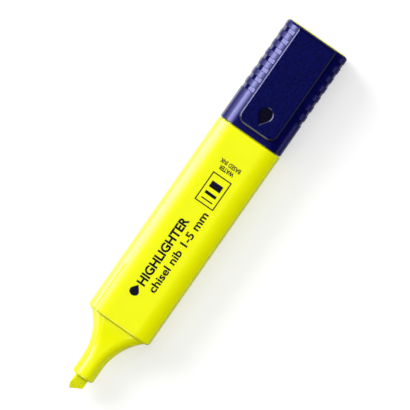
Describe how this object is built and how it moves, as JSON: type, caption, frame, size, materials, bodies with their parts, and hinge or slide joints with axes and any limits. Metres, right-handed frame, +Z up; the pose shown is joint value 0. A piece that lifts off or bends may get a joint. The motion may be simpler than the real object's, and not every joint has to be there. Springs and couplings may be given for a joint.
{
  "type": "highlighter",
  "caption": "Flat-bodied highlighter lying on its back, with a flared nose, a slanted chisel nib and a ribbed clip cap pushed onto its tail.",
  "frame": {"origin": "below the middle of the pen, on the surface that it lies on", "axes": "+X along the pen from the nib to the closed end of the cap, +Y across its broad faces, +Z up through the clip"},
  "size_m": [0.146, 0.025, 0.0172],
  "materials": {
    "yellow_shell": "fluorescent yellow moulded polypropylene, smooth gloss",
    "felt_nib": "bonded polyester fibre soaked with yellow ink",
    "ink_fibre": "soft fibre bundle soaked with yellow ink",
    "clear_film": "thin translucent film",
    "navy_shell": "navy moulded polypropylene, smooth gloss",
    "navy_clip": "navy moulded polypropylene with a fine spark-eroded texture"
  },
  "bodies": {
    "pen_body": {"barrel": "yellow_shell", "front_section": "yellow_shell", "nib": "felt_nib", "ink_reservoir": "ink_fibre", "reservoir_wrap": "clear_film", "end_plug": "yellow_shell"},
    "cap_body": {"cap_shell": "navy_shell", "cap_seal": "yellow_shell"},
    "clip_body": {"clip": "navy_clip"}
  },
  "joints": [
    {"name": "cap_slide", "type": "slide", "parent": "pen_body", "child": "cap_body", "axis": [1, 0, 0], "range_m": [0, 0.02]},
    {"name": "clip_flex", "type": "hinge", "parent": "cap_body", "child": "clip_body", "pos_m": [0.0728, 0, 0.0149], "axis": [0, 1, 0], "range_deg": [0, 4], "stiffness_Nm_per_rad": 1.1, "springref_deg": -1.15}
  ]
}
